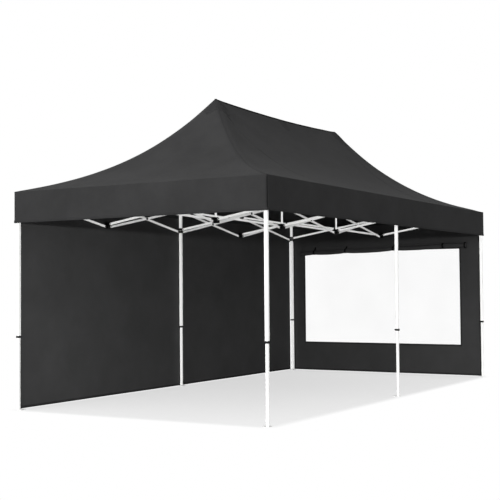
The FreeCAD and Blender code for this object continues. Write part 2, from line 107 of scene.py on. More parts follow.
def edge_mask(tree, radius):
    """The normal rounded over edges, and a mask of where it leaves the true one."""
    rounded = node(tree, "Bevel", {"Radius": radius}, samples=4).outputs[0]
    true = node(tree, "NewGeometry").outputs["Normal"]
    dot = node(tree, "VectorMath", {0: rounded, 1: true}, operation="DOT_PRODUCT")
    return rounded, calc(tree, "SUBTRACT", 1.0, dot.outputs["Value"], clamp=True)


def new_material(name):
    material = bpy.data.materials.new(name)
    material.use_nodes = True
    tree = material.node_tree
    tree.nodes.clear()
    output = node(tree, "OutputMaterial")
    shader = node(tree, "BsdfPrincipled")
    tree.links.new(shader.outputs[0], output.inputs[0])
    return material, tree, shader, output


# ----------------------------------------------------------------- materials
STITCH_ROW = 0.0068          # from the tape's middle to each row of stitches
STITCH_HALF_WIDTH = 0.0009
STITCH_PITCH = 0.0046
STITCH_SHARE = 0.72          # of the pitch that is thread
STITCH_COLOUR = (0.10, 0.10, 0.102)


def stitch_mask(tree, uv):
    """Two rows of stitches along u, one either side of v = 0."""
    axes = node(tree, "SeparateXYZ", {0: uv}).outputs
    off_row = calc(tree, "SUBTRACT", calc(tree, "ABSOLUTE", axes[1]), STITCH_ROW)
    row = calc(tree, "LESS_THAN", calc(tree, "ABSOLUTE", off_row), STITCH_HALF_WIDTH)
    step = calc(tree, "FRACT", calc(tree, "MULTIPLY", axes[0], 1 / STITCH_PITCH))
    return calc(tree, "MULTIPLY", row, calc(tree, "LESS_THAN", step, STITCH_SHARE))


def fabric(name, dark, light, pitch=0.0016, rough=0.8, stitched=False):
    """Coated plain-weave polyester. UVs are in metres; pitch is the thread spacing."""
    material, tree, shader, _ = new_material(name)
    coords = node(tree, "TexCoord").outputs
    uv, place = coords["UV"], coords["Object"]
    # 0.314 brings the wave texture's bands to about one every two pitches
    threads = [
        node(tree, "TexWave", {"Vector": uv, "Scale": 0.314 / pitch, "Distortion": 0.4},
             wave_type="BANDS", bands_direction=axis).outputs["Fac"]
        for axis in "XY"]
    checks = node(tree, "TexChecker", {"Vector": uv, "Scale": 1 / pitch}).outputs["Fac"]
    weave = node(tree, "Mix", {0: checks, 2: threads[0], 3: threads[1]}).outputs[0]
    mottle = noise_map(tree, place, Scale=2.2, Detail=7.0, Roughness=0.62)
    fine = noise_map(tree, place, Scale=140.0, Detail=3.0)
    crease = noise_map(tree, place, Scale=5.0, Detail=4.0, Distortion=1.2)

    # share of each pattern in the colour
    mottle_part, fine_part, weave_part = (
        calc(tree, "MULTIPLY", pattern, share)
        for pattern, share in ((mottle, 0.75), (fine, 0.15), (weave, 0.22)))
    tone = calc(tree, "ADD", calc(tree, "ADD", mottle_part, fine_part), weave_part, clamp=True)
    colour = ramp(tree, tone, (0.25, dark), (0.85, light))
    normal = bump(tree, crease, strength=0.35, distance=0.006)
    normal = bump(tree, weave, strength=0.35, distance=0.0004, normal=normal)
    if stitched:
        mask = stitch_mask(tree, uv)
        colour = mix_colour(tree, mask, colour, STITCH_COLOUR)
        normal = bump(tree, mask, strength=0.8, distance=0.0008, normal=normal)
    set_inputs(tree, shader, {
        "Base Color": colour,
        "Roughness": ramp(tree, mottle, (0.2, rough - 0.08), (0.8, rough + 0.1)),
        "Specular IOR Level": 0.05,
        "Sheen Weight": 0.015,
        "Sheen Roughness": 0.45,
        "Normal": normal})
    return material


def powder_coat(name, base, worn, rough):
    """Sprayed white coating: orange peel, soft edges, slight wear and dust."""
    material, tree, shader, _ = new_material(name)
    place = node(tree, "TexCoord").outputs["Object"]
    peel = noise_map(tree, place, Scale=420.0, Detail=2.0)
    dust = noise_map(tree, place, Scale=7.0, Detail=8.0, Roughness=0.7)
    rounded, edge = edge_mask(tree, radius=0.0016)
    wear_gain = 2.2
    wear = calc(tree, "MULTIPLY", edge, calc(tree, "MULTIPLY", dust, wear_gain), clamp=True)
    dusty = tuple(channel * 0.955 for channel in base)
    colour = ramp(tree, dust, (0.3, dusty), (0.7, base))
    set_inputs(tree, shader, {
        "Base Color": mix_colour(tree, wear, colour, worn),
        "Roughness": ramp(tree, dust, (0.25, rough), (0.8, rough + 0.16)),
        "Coat Weight": 0.15,
        "Coat Roughness": 0.2,
        "Normal": bump(tree, peel, strength=0.12, distance=0.0005, normal=rounded)})
    return material


def moulded(name, dark, light, scuffed, rough):
    """Black moulded nylon with a fine spark-eroded texture and paler scuffed edges."""
    material, tree, shader, _ = new_material(name)
    place = node(tree, "TexCoord").outputs["Object"]
    grain = noise_map(tree, place, Scale=900.0, Detail=3.0)
    cloud = noise_map(tree, place, Scale=18.0, Detail=5.0)
    rounded, edge = edge_mask(tree, radius=0.0022)
    wear = calc(tree, "MULTIPLY", edge, cloud, clamp=True)
    colour = ramp(tree, cloud, (0.3, dark), (0.75, light))
    set_inputs(tree, shader, {
        "Base Color": mix_colour(tree, wear, colour, scuffed),
        "Roughness": ramp(tree, cloud, (0.2, rough - 0.08), (0.8, rough + 0.12)),
        "Specular IOR Level": 0.3,
        "Normal": bump(tree, grain, strength=0.2, distance=0.0003, normal=rounded)})
    return material


def film(name):
    """Clear flexible window film: mostly see-through, with soft waves in its gloss."""
    material, tree, shader, _ = new_material(name)
    place = node(tree, "TexCoord").outputs["Object"]
    wave = noise_map(tree, place, Scale=3.0, Detail=3.0, Distortion=0.8)
    haze = noise_map(tree, place, Scale=1.4, Detail=5.0)
    set_inputs(tree, shader, {
        "Base Color": (0.95, 0.96, 0.97, 1),
        "Roughness": 0.06,
        "Specular IOR Level": 0.6,
        "Normal": bump(tree, wave, strength=0.5, distance=0.01),
        "Alpha": ramp(tree, haze, (0.3, 0.015), (0.8, 0.05))})
    return material


CANOPY = fabric("canopy_polyester", dark=(0.042, 0.042, 0.0425), light=(0.076, 0.076, 0.077))
WALL = fabric("wall_polyester", dark=(0.070, 0.070, 0.0705), light=(0.108, 0.108, 0.109),
              pitch=0.0014)
# near-black: the straps' own colour, and painted shade down the canopy's corner tucks
CORD_AND_CORNER_SHADE = fabric("cord_and_painted_corner_shade", dark=(0.003, 0.003, 0.003), light=(0.009, 0.009, 0.009), rough=0.85)
TAPE = fabric("seam_tape", dark=(0.034, 0.034, 0.0345), light=(0.062, 0.062, 0.063),
              pitch=0.0022, stitched=True)
# part of the material set, though no piece below wears it
fabric("tie_webbing", dark=(0.020, 0.020, 0.0205), light=(0.044, 0.044, 0.045), pitch=0.003)
WHITE = powder_coat("white_powder_coat", base=(0.86, 0.86, 0.85), worn=(0.62, 0.61, 0.59),
                    rough=0.34)
POLE = powder_coat("pole_powder_coat", base=(0.82, 0.82, 0.81), worn=(0.6, 0.6, 0.58),
                   rough=0.3)
BLACK = moulded("black_nylon", dark=(0.006, 0.006, 0.0065), light=(0.016, 0.016, 0.017),
                scuffed=(0.06, 0.06, 0.06), rough=0.5)
FILM = film("window_film")

TUBES = ("leg_outer", "leg_inner", "long_bars", "cross_bars")
POLES = ("peak_pole", "ridge_pole")
FITTINGS = ("upper_joints", "cross_joints", "long_sliders", "leg_collars", "leg_button")


def frame_material(name):
    for prefixes, material in ((TUBES, WHITE), (POLES, POLE), (FITTINGS, BLACK)):
        if name.startswith(prefixes):
            return material
    return WALL


for name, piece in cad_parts.items():
    piece.data.materials.clear()
    piece.data.materials.append(frame_material(name))


# -------------------------------------------------------------- mesh helpers
def span(start, end, steps):
    return [start + (end - start) * k / steps for k in range(steps + 1)]


def smooth_noise(x, y, z, scale=1.0):
    return noise.noise(Vector((x * scale, y * scale, z * scale)))


def grid_faces(columns, rows):
    """(column, row, face) for each cell of a grid stored column by column."""
    return [(a, b, (a * rows + b, (a + 1) * rows + b, (a + 1) * rows + b + 1, a * rows + b + 1))
            for a in range(columns - 1) for b in range(rows - 1)]


def tube_faces(rings, around, closed_ends=False):
    faces = []
    for i in range(rings - 1):
        here, there = i * around, (i + 1) * around
        for k in range(around):
            following = (k + 1) % around
            faces.append((here + k, here + following, there + following, there + k))
    if closed_ends:
        faces.append(tuple(range(around)))
        faces.append(tuple((rings - 1) * around + k for k in reversed(range(around))))
    return faces


def mesh_object(name, verts, faces, material, uvs=None, smooth=True):
    mesh = bpy.data.meshes.new(name)
    mesh.from_pydata([tuple(v) for v in verts], [], faces)
    mesh.update()
    if uvs is not None:
        layer = mesh.uv_layers.new(name="UVMap")
        corner_verts = np.empty(len(mesh.loops), int)
        mesh.loops.foreach_get("vertex_index", corner_verts)
        layer.data.foreach_set("uv", np.asarray(uvs, np.float32)[corner_verts].ravel())
    if smooth:
        mesh.polygons.foreach_set("use_smooth", [True] * len(mesh.polygons))
    made = bpy.data.objects.new(name, mesh)
    bpy.context.scene.collection.objects.link(made)
    mesh.materials.append(material)
    return made


def solidify(target, thickness, offset=-1.0):
    """Gives a sheet its thickness and bakes it into the mesh."""
    modifier = target.modifiers.new("thick", "SOLIDIFY")
    modifier.thickness = thickness
    modifier.offset = offset
    modifier.use_rim = True
    bpy.context.view_layer.update()
    depsgraph = bpy.context.evaluated_depsgraph_get()
    baked = bpy.data.meshes.new_from_object(target.evaluated_get(depsgraph))
    thin = target.data
    target.modifiers.clear()
    target.data = baked
    bpy.data.meshes.remove(thin)


def ribbon(name, path, normals, width, height, material, sink=0.0008):
    """A sewn tape along a path, standing height proud of the surface and sunk a little in it."""
    path = np.array(path, float)
    normals = np.array(normals, float)
    normals /= np.linalg.norm(normals, axis=1)[:, None]
    along = np.gradient(path, axis=0)
    along /= np.maximum(np.linalg.norm(along, axis=1), 1e-9)[:, None]
    across = np.cross(along, normals)
    across /= np.maximum(np.linalg.norm(across, axis=1), 1e-9)[:, None]
    half = width / 2
    # section: (across, above the surface)
    section = [(-half, -sink), (-half, height * 0.55), (-half * 0.86, height),
               (0, height * 1.15),
               (half * 0.86, height), (half, height * 0.55), (half, -sink)]
    steps = np.linalg.norm(np.diff(path, axis=0), axis=1)
    distance = np.concatenate([[0], np.cumsum(steps)])
    verts, uvs = [], []
    for i in range(len(path)):
        for a, b in section:
            verts.append(path[i] + across[i] * a + normals[i] * b)
            uvs.append((distance[i], a))
    faces = tube_faces(len(path), len(section), closed_ends=True)
    return mesh_object(name, verts, faces, material, uvs)


def turned(name, profile, segments, place):
    """A black lathed part; profile is (radius, height), place maps (height, a, b) to a point."""
    verts = []
    for radius, height in profile:
        for k in range(segments):
            angle = 2 * math.pi * k / segments
            verts.append(place(height, radius * math.cos(angle), radius * math.sin(angle)))
    made = mesh_object(name, verts, tube_faces(len(profile), segments), BLACK)
    bm = bmesh.new()
    bm.from_mesh(made.data)
    bmesh.ops.remove_doubles(bm, verts=bm.verts, dist=1e-6)
    bmesh.ops.recalc_face_normals(bm, faces=bm.faces)
    bm.to_mesh(made.data)
    bm.free()
    return made


def join(name, pieces):
    for selected in bpy.context.selected_objects:
        selected.select_set(False)
    for piece in pieces:
        piece.select_set(True)
    first = pieces[0]
    bpy.context.view_layer.objects.active = first
    bpy.ops.object.join()
    first.name = name
    first.data.name = name
    first.select_set(False)
    return first


# -------------------------------------------------------------------- canopy
canopy_lo, canopy_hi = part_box("canopy")
HALF_LENGTH, HALF_WIDTH, PEAK_Z = canopy_hi
EAVE_Z = 2.227
SKIRT = EAVE_Z - canopy_lo[2]     # depth of the valance
PEAK_X = 1.457                    # the two peaks stand at +-PEAK_X
RIDGE_SAG = 0.035
HIP_BLEND = 0.065                 # how far the slopes round into each other at a hip


def rise(t):
    """Hollow curve of the roof, from 0 at the eave to 1 at the top."""
    return 0.4 * t + 0.6 * t ** 2.7


def lower_slope(a, b):
    """The lower of two slopes; where they meet the cloth rounds over, at the same height."""
    gap = abs(a - b)
    blend = max(HIP_BLEND - gap, 0.0) / HIP_BLEND
    keep = max(0.0, 1.0 - (gap / (2.6 * HIP_BLEND)) ** 2) ** 2
    fade = min(1.0, min(a, b) / 0.05)
    return min(a, b) - (blend * blend - keep) * HIP_BLEND * 0.25 * fade


def fan(reach, angle, height, fade, rays, phase):
    """Tension lines that fan out of a point and die away with reach."""
    return height * math.exp(-reach / fade) * math.sin(angle * rays + phase)


def roof_creases(x, y, t):
    from_eave = min(1.0, t * 6.0)
    # slack in the panels: shallow drapes between the hips and the bay seams
    z = -0.0025 * from_eave * (1 - t) * (1 + smooth_noise(x * 0.9, y * 1.1, 2.0))
    for side in (-1, 1):
        dx, dy = HALF_LENGTH - side * x, HALF_WIDTH - abs(y)
        reach = math.hypot(dx, dy)
        if reach < 1.6 and side * x > 0:
            wander = 2.0 * smooth_noise(x, y, 5.0, scale=1.5)
            z += from_eave * fan(reach, math.atan2(dy, dx), height=0.0035, fade=0.8,
                                 rays=16, phase=wander)
        dx = x - side * PEAK_X
        reach = math.hypot(dx, y)
        wander = 1.5 * smooth_noise(x, y, 8.0, scale=1.2)
        z += min(1.0, reach / 0.15) * fan(reach, math.atan2(y, dx), height=0.006, fade=0.42,
                                          rays=9, phase=side + wander)
    return z + 0.0022 * from_eave * smooth_noise(x, y, 0.3, scale=3.1)


def roof_z(x, y):
    end_slope = min(1.0, max(0.0, (HALF_LENGTH - abs(x)) / (HALF_LENGTH - PEAK_X)))
    long_slope = min(1.0, max(0.0, 1.0 - abs(y) / HALF_WIDTH))
    if abs(x) > PEAK_X:
        on_roof = end_slope > 0 and long_slope > 0
        t = max(0.0, lower_slope(end_slope, long_slope)) if on_roof else 0.0
        top = PEAK_Z
    else:
        t = long_slope
        top = PEAK_Z - RIDGE_SAG * (1 - (x / PEAK_X) ** 2)
    return EAVE_Z + (top - EAVE_Z) * rise(t) + roof_creases(x, y, t)


def roof_normal(x, y):
    e = 0.004
    slope_x = (roof_z(x + e, y) - roof_z(x - e, y)) / (2 * e)
    slope_y = (roof_z(x, y + e) - roof_z(x, y - e)) / (2 * e)
    return Vector((-slope_x, -slope_y, 1.0)).normalized()


def skirt_ripple(x, y, distance, drop):
    """How far the valance hangs outwards; distance runs round the eave."""
    from_corner = max(HALF_LENGTH - abs(x), HALF_WIDTH - abs(y))
    calm = min(1.0, from_corner / 0.35)
    wave = math.sin(distance * 5.1 + 1.3 * math.sin(distance * 1.7))
    wave += 0.7 * smooth_noise(distance, drop, 1.0, scale=2.3)
    return 0.0008 + 0.0030 * drop / SKIRT * wave * calm


def roof_stations():
    """Grid lines of the roof in x and y; beyond the peaks they cross on the hips."""
    end_steps, bay_steps = 46, 40
    xs_end = []
    for k in range(end_steps + 1):
        v = k / end_steps
        v -= 0.10 * math.sin(2 * math.pi * v) / (2 * math.pi)  # finer near peak and eave
        xs_end.append(PEAK_X + (HALF_LENGTH - PEAK_X) * v)
    xs_end = [x for x in xs_end if x < HALF_LENGTH - 0.034]
    xs_end += [HALF_LENGTH - 0.030, HALF_LENGTH - 0.0048, HALF_LENGTH]
    xs_bay = [-PEAK_X + 2 * PEAK_X * k / bay_steps for k in range(1, bay_steps)]
    xs = [-x for x in reversed(xs_end)] + xs_bay + xs_end
    ys_half = [HALF_WIDTH * (x - PEAK_X) / (HALF_LENGTH - PEAK_X) for x in xs_end]
    return xs, [-y for y in reversed(ys_half)] + ys_half[1:]


def roof_faces(xs, ys):
    """Quads between the peaks, and triangles split along the hips beyond them."""
    faces = []
    for a, b, (p, q, r, s) in grid_faces(len(xs), len(ys)):
        x_mid, y_mid = (xs[a] + xs[a + 1]) / 2, (ys[b] + ys[b + 1]) / 2
        if abs(x_mid) < PEAK_X:
            faces.append((p, q, r, s))
        elif x_mid * y_mid > 0:
            faces += [(p, q, r), (p, r, s)]
        else:
            faces += [(p, q, s), (q, r, s)]
    return faces


def outward_sign(value, limit):
    return math.copysign(1, value) if abs(abs(value) - limit) < 1e-6 else 0


def build_canopy():
    xs, ys = roof_stations()
    nx, ny = len(xs), len(ys)
    verts = [(x, y, roof_z(x, y)) for x in xs for y in ys]
    uvs = [(x, y * 1.22) for x in xs for y in ys]
    faces = roof_faces(xs, ys)
    # the eave, from the front left corner along the front and on round
    rim = [(a, 0) for a in range(nx)]
    rim += [(nx - 1, b) for b in range(1, ny)]
    rim += [(a, ny - 1) for a in range(nx - 2, -1, -1)]
    rim += [(0, b) for b in range(ny - 2, 0, -1)]
    above = [a * ny + b for a, b in rim]
    eave = [verts[i][:2] for i in above]
    distances = [0.0]
    for (x0, y0), (x1, y1) in zip(eave, eave[1:]):
        distances.append(distances[-1] + math.hypot(x1 - x0, y1 - y0))
    drops = [0.004, 0.012, 0.03, 0.06, 0.10, 0.14, 0.18, 0.22, 0.26, 0.29, 0.305, SKIRT]
    for drop in drops:
        row = []
        for (x, y), distance in zip(eave, distances):
            out_x = outward_sign(x, HALF_LENGTH)
            out_y = outward_sign(y, HALF_WIDTH)
            if out_x and out_y:
                # the two skirts meet in a seam that tucks in at the corner
                out = -0.0070 * min(1.0, drop / 0.03)
            else:
                out = skirt_ripple(x, y, distance, drop)
            row.append(len(verts))
            verts.append((x + out_x * out, y + out_y * out, EAVE_Z - drop))
            uvs.append((distance, -3 - drop))
        for i in range(len(rim)):
            j = (i + 1) % len(rim)
            faces.append((above[j], above[i], row[i], row[j]))
        above = row
    sheet = mesh_object("canopy_sheet", verts, faces, CANOPY, uvs)
    solidify(sheet, 0.0011)
    return sheet


def roof_tape(name, start, end, steps, width):
    points = list(zip(span(start[0], end[0], steps), span(start[1], end[1], steps)))
    path = [(x, y, roof_z(x, y)) for x, y in points]
    normals = [roof_normal(x, y) for x, y in points]
    return ribbon(name, path, normals, width, 0.0011, TAPE)


def hem_tapes():
    """A tape round the valance's foot, one length a side, that follows its ripple."""
    drop = SKIRT - 0.0135
    # start corner, direction of travel, length, steps
    sides = [
        ((-HALF_LENGTH, -HALF_WIDTH), (1, 0), 2 * HALF_LENGTH, 150),
        ((HALF_LENGTH, -HALF_WIDTH), (0, 1), 2 * HALF_WIDTH, 80),
        ((HALF_LENGTH, HALF_WIDTH), (-1, 0), 2 * HALF_LENGTH, 150),
        ((-HALF_LENGTH, HALF_WIDTH), (0, -1), 2 * HALF_WIDTH, 80),
    ]
    tapes = []
    travelled = 0
    for (x0, y0), (dx, dy), length, steps in sides:
        outward = (dy, -dx, 0)
        path = []
        for d in span(0, length, steps):
            x, y = x0 + dx * d, y0 + dy * d
            out = skirt_ripple(x, y, travelled + d, drop)
            path.append((x + outward[0] * out, y + outward[1] * out, EAVE_Z - drop))
        tapes.append(ribbon("hem", path, [outward] * len(path), 0.027, 0.0012, TAPE))
        travelled += length
    return tapes


def corner_shade_line(side_x, side_y):
    """A near-black tube down the tuck where two skirts meet: a painted shade line, standing in
    for the shade in that groove.
    """
    shade_line_radius, inset, steps, segments = 0.0040, 0.0047, 46, 14
    x, y = side_x * (HALF_LENGTH - inset), side_y * (HALF_WIDTH - inset)
    verts, uvs = [], []
    for i in range(steps + 1):
        z = EAVE_Z - 0.002 - (SKIRT - 0.004) * i / steps
        taper = 0.55 if i in (0, steps) else 1.0
        radius = shade_line_radius * taper * (1 + 0.06 * math.sin(i * 2.4))
        for k in range(segments):
            angle = 2 * math.pi * k / segments
            verts.append((x + radius * math.cos(angle), y + radius * math.sin(angle), z))
            uvs.append((EAVE_Z - z, shade_line_radius * angle))
    faces = tube_faces(steps + 1, segments, closed_ends=True)
    return mesh_object("corner_shade_tube", verts, faces, CORD_AND_CORNER_SHADE, uvs)


def build_canopy_tapes():
    pieces = []
    for side_x in (-1, 1):
        for side_y in (-1, 1):
            corner = (side_x * (HALF_LENGTH - 0.004), side_y * (HALF_WIDTH - 0.004))
            pieces.append(roof_tape("hip", (side_x * (PEAK_X + 0.004), side_y * 0.004),
                                    corner, steps=90, width=0.020))
        # bay seams from the peaks down to the long eaves
        for side_y in (-1, 1):
            eave = (side_x * PEAK_X, side_y * (HALF_WIDTH - 0.004))
            pieces.append(roof_tape("bay", (side_x * PEAK_X, side_y * 0.01), eave,
                                    steps=60, width=0.018))
    pieces.append(roof_tape("ridge", (-PEAK_X, 0), (PEAK_X, 0), steps=80, width=0.024))
    pieces += hem_tapes()
    # near-black tubes in the four corner tucks: painted shade lines
    pieces += [corner_shade_line(side_x, side_y) for side_x in (-1, 1) for side_y in (-1, 1)]
    return join("canopy_seam_tapes", pieces)


def ridge_patch(x_mid, patch_radius):
    """A round patch that lies on the roof, its rim sunk just into the cloth."""
    rings, segments = 8, 48
    verts, uvs = [(x_mid, 0, roof_z(x_mid, 0) + 0.0016)], [(0, 0)]
    for a in range(1, rings + 1):
        radius = patch_radius * a / rings
        proud = 0.0014 if a < rings else -0.0006
        for b in range(segments):
            angle = 2 * math.pi * b / segments
            x, y = x_mid + radius * math.cos(angle), radius * math.sin(angle)
            n = roof_normal(x, y)
            verts.append((x + n.x * proud, y + n.y * proud, roof_z(x, y) + n.z * proud))
            # v = 0, where the stitching centres, lies 18 mm in from the rim
            uvs.append((angle * patch_radius, patch_radius - radius - 0.018))
    faces = [(0, 1 + b, 1 + (b + 1) % segments) for b in range(segments)]
    for a in range(rings - 1):
        for b in range(segments):
            p, q = 1 + a * segments + b, 1 + a * segments + (b + 1) % segments
            faces.append((p, p + segments, q + segments, q))
    return mesh_object("patch", verts, faces, TAPE, uvs)


canopy = build_canopy()
canopy_tapes = build_canopy_tapes()
# reinforcement over both peaks and the middle of the ridge: (x, radius)
PATCHES = [(-PEAK_X, 0.16), (PEAK_X, 0.16), (0.0, 0.11)]
peak_patches = join("peak_patches", [ridge_patch(x, radius) for x, radius in PATCHES])
solidify(peak_patches, 0.0010)

# --------------------------------------------------------------------- walls
# on each wall, u runs along it (x at the rear, y at the right) and v is the height
rear_lo, rear_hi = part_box("rear_wall")
REAR_Y = (rear_lo[1] + rear_hi[1]) / 2
right_lo, right_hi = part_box("right_wall")
RIGHT_X = (right_lo[0] + right_hi[0]) / 2
pane_lo, pane_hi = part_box("window_pane")
# the window opening, just inside the pane
WIN_Y0, WIN_Y1 = pane_lo[1] + 0.0005, pane_hi[1] - 0.0005
WIN_Z0, WIN_Z1 = pane_lo[2] + 0.0005, pane_hi[2] - 0.0005


def freedom(u, z, half):
    """0 where the wall is held, at its head and side edges, rising to 1 away from them."""
    head = min(1.0, max(0.0, (1.90 - z) / 0.35))
    return head * min(1.0, (half - abs(u)) / 0.25)


def hang(u, z, mean, wave, broad, fine):
    """Outward hang: a mean, a bent wave (height, u rate, bend, z rate) and two noises
    (height, layer, scale)."""
    height, u_rate, bend, z_rate = wave
    out = mean + height * math.sin(u * u_rate + bend * math.sin(z * z_rate))
    for height, layer, scale in (broad, fine):
        out += height * smooth_noise(u, z, layer, scale)
    return out


def on_rear(x, z):
    out = hang(x, z, mean=0.0045, wave=(0.0035, 3.3, 0.8, 1.1),
               broad=(0.006, 3.0, 0.9), fine=(0.0018, 7.0, 4.0))
    out += 0.003 * math.sin(x * 1.1 - z * 2.6)
    near_middle = min(1.0, abs(x) / 0.25) * 0.7 + 0.3  # the centre seam calms the cloth
    return x, REAR_Y + freedom(x, z, rear_hi[0]) * near_middle * max(out, -0.0012), z


def on_right(y, z):
    out = hang(y, z, mean=0.004, wave=(0.003, 4.1, 0.9, 1.4),
               broad=(0.005, 5.0, 1.1), fine=(0.0016, 9.0, 4.2))
    return RIGHT_X + freedom(y, z, right_hi[1]) * max(out, -0.0008), y, z


def on_pane(y, z):
    x = on_right(y, z)[0]
    to_edge = min(y - WIN_Y0, WIN_Y1 - y, z - WIN_Z0, WIN_Z1 - z) + 0.004
    return x + 0.0016 * smooth_noise(y, z, 2.0, scale=2.2) * min(1, to_edge / 0.1), y, z


def in_window(y, z):
    return WIN_Y0 < y < WIN_Y1 and WIN_Z0 < z < WIN_Z1


def sheet(name, us, vs, place, material, hole=None, thickness=0.0011):
    """Cloth over a grid of (u, v); cells whose middle is in the hole are left out."""
    points = [(u, v) for u in us for v in vs]
    verts = [place(u, v) for u, v in points]
    faces = [face for a, b, face in grid_faces(len(us), len(vs))
             if not (hole and hole((us[a] + us[a + 1]) / 2, (vs[b] + vs[b + 1]) / 2))]
    made = mesh_object(name, verts, faces, material, points)
    if hole:
        bm = bmesh.new()
        bm.from_mesh(made.data)
        loose = [v for v in bm.verts if not v.link_faces]
        bmesh.ops.delete(bm, geom=loose, context="VERTS")
        bm.to_mesh(made.data)
        bm.free()
    solidify(made, thickness, offset=0.0)
    return made


def wall_tape(place, facing, points, width=0.026, height=0.0012):
    """A tape through (u, v) points on the face of a wall that looks along facing."""
    clear = np.multiply(facing, 0.0005)
    path = [np.add(place(u, v), clear) for u, v in points]
    return ribbon("wall_tape", path, [facing] * len(path), width, height, TAPE)


def border_tapes(place, facing, u_lo, u_hi, z_lo, z_hi, steps):
    """Foot, head and both side edges of a wall."""
    inset = 0.014
    us, vs = span(u_lo, u_hi, steps), span(z_lo, z_hi, 60)
    return [
        wall_tape(place, facing, [(u, z_lo + inset) for u in us]),
        wall_tape(place, facing, [(u, z_hi - 0.022) for u in us], width=0.040),
        wall_tape(place, facing, [(u_lo + inset, v) for v in vs]),
        wall_tape(place, facing, [(u_hi - inset, v) for v in vs]),
    ]


def build_rear_tapes():
    tapes = []
    for sign in (-1, 1):  # inner face, then outer
        facing = (0, sign, 0)
        tapes += border_tapes(on_rear, facing, rear_lo[0], rear_hi[0], rear_lo[2], rear_hi[2],
                              steps=150)
        centre = [(0.0, v) for v in span(rear_lo[2] + 0.03, rear_hi[2] - 0.04, 60)]
        tapes.append(wall_tape(on_rear, facing, centre, width=0.016, height=0.0009))
    return join("rear_wall_tapes", tapes)


def build_right_tapes():
    outset = 0.010  # the tape frames the window from just outside its edge
    y0, y1, z0, z1 = WIN_Y0 - outset, WIN_Y1 + outset, WIN_Z0 - outset, WIN_Z1 + outset
    corners = [(y0, z0), (y1, z0), (y1, z1), (y0, z1)]
    tapes = []
    for sign in (-1, 1):  # inner face, then outer
        facing = (sign, 0, 0)
        tapes += border_tapes(on_right, facing, right_lo[1], right_hi[1],
                              right_lo[2], right_hi[2], steps=80)
        for start, end in zip(corners, corners[1:] + corners[:1]):
            points = zip(span(start[0], end[0], 70), span(start[1], end[1], 70))
            tapes.append(wall_tape(on_right, facing, points, width=0.024, height=0.0011))
    return join("right_wall_tapes", tapes)


rear = sheet("rear_wall_sheet", span(rear_lo[0], rear_hi[0], 190),
             span(rear_lo[2], rear_hi[2], 70), on_rear, WALL)
rear_tapes = build_rear_tapes()

right_us = (span(right_lo[1], WIN_Y0, 14) + span(WIN_Y0, WIN_Y1, 84)[1:]
            + span(WIN_Y1, right_hi[1], 10)[1:])
right_vs = (span(right_lo[2], WIN_Z0, 16) + span(WIN_Z0, WIN_Z1, 46)[1:]
            + span(WIN_Z1, right_hi[2], 16)[1:])
right = sheet("right_wall_sheet", right_us, right_vs, on_right, WALL, hole=in_window)
right_tapes = build_right_tapes()

# the film laps 4 mm behind the edge of the opening all round
window = sheet("window_film_sheet", span(WIN_Y0 - 0.004, WIN_Y1 + 0.004, 70),
               span(WIN_Z0 - 0.004, WIN_Z1 + 0.004, 40), on_pane, FILM, thickness=0.0004)

# ----------------------------------------------------------- rolled-up blind
blind_lo, blind_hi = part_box("window_blind")
ROLL_X = (blind_lo[0] + blind_hi[0]) / 2
ROLL_Z = (blind_lo[2] + blind_hi[2]) / 2
ROLL_RADIUS = (blind_hi[2] - blind_lo[2]) / 2 * 0.93
CORE_RADIUS = 0.007
TURNS, STEPS_PER_TURN, TAIL_STEPS = 4.6, 30, 7
TIES = [1.07, 0.56, -0.19, -0.93]  # y of the straps


def blind_shape(y):
    """Radius factor and drop of the roll: pinched at its ties, sagging between them."""
    nearest = min(abs(y - tie) for tie in TIES)
    pinch = 1.0 - 0.13 * math.exp(-(nearest / 0.05) ** 2)
    ties = sorted(TIES)
    sag = 0.0
    for a, b in zip(ties, ties[1:]):
        if a < y < b:
            u = (y - a) / (b - a)
            sag = 0.016 * (b - a) * 4 * u * (1 - u)
    if y > ties[-1]:
        sag = 0.012 * min(1, (y - ties[-1]) / 0.25) ** 2
    if y < ties[0]:
        sag = 0.012 * min(1, (ties[0] - y) / 0.3) ** 2
    # it is tied up lower at the rear end than at the front
    return pinch, sag + 0.012 + 0.026 * y


def blind_section(y):
    """(x, z) points of the spiral from the core outwards, then up to the wall."""
    pinch, drop = blind_shape(y)
    steps = int(TURNS * STEPS_PER_TURN)
    points = []
    for k in range(steps + 1):
        t = k / STEPS_PER_TURN * 2 * math.pi
        r = (CORE_RADIUS + (ROLL_RADIUS - CORE_RADIUS) * (k / steps)) * pinch
        lumps = smooth_noise(y * 2.2, math.cos(t) * 1.2, math.sin(t) * 1.2 + k / STEPS_PER_TURN)
        r *= 1 + 0.030 * lumps + 0.014 * math.sin(y * 31 + 3 * t)
        # the outer turn ends level with the axis, on the wall side
        angle = t - (TURNS % 1) * 2 * math.pi
        points.append((ROLL_X + r * math.cos(angle), ROLL_Z - drop + r * math.sin(angle)))
    # the last of the cloth rises to the seam above the window
    x_end, z_end = points[-1]
    for k in range(1, TAIL_STEPS + 1):
        u = k / TAIL_STEPS
        points.append((x_end + (RIGHT_X - 0.0022 - x_end) * min(1.0, u * 1.6),
                       z_end + (WIN_Z1 + 0.085 - z_end) * u))
    return points


def build_blind():
    ys = span(blind_lo[1] + 0.002, blind_hi[1] - 0.002, 150)
    verts, uvs = [], []
    for y in ys:
        section = blind_section(y)
        length = 0.0
        last = section[0]
        for x, z in section:
            length += math.hypot(x - last[0], z - last[1])
            last = (x, z)
            verts.append((x, y, z))
            uvs.append((y, length))
    faces = [face for _, _, face in grid_faces(len(ys), len(section))]
    made = mesh_object("rolled_blind", verts, faces, WALL, uvs)
    solidify(made, 0.0010, offset=0.0)
    return made


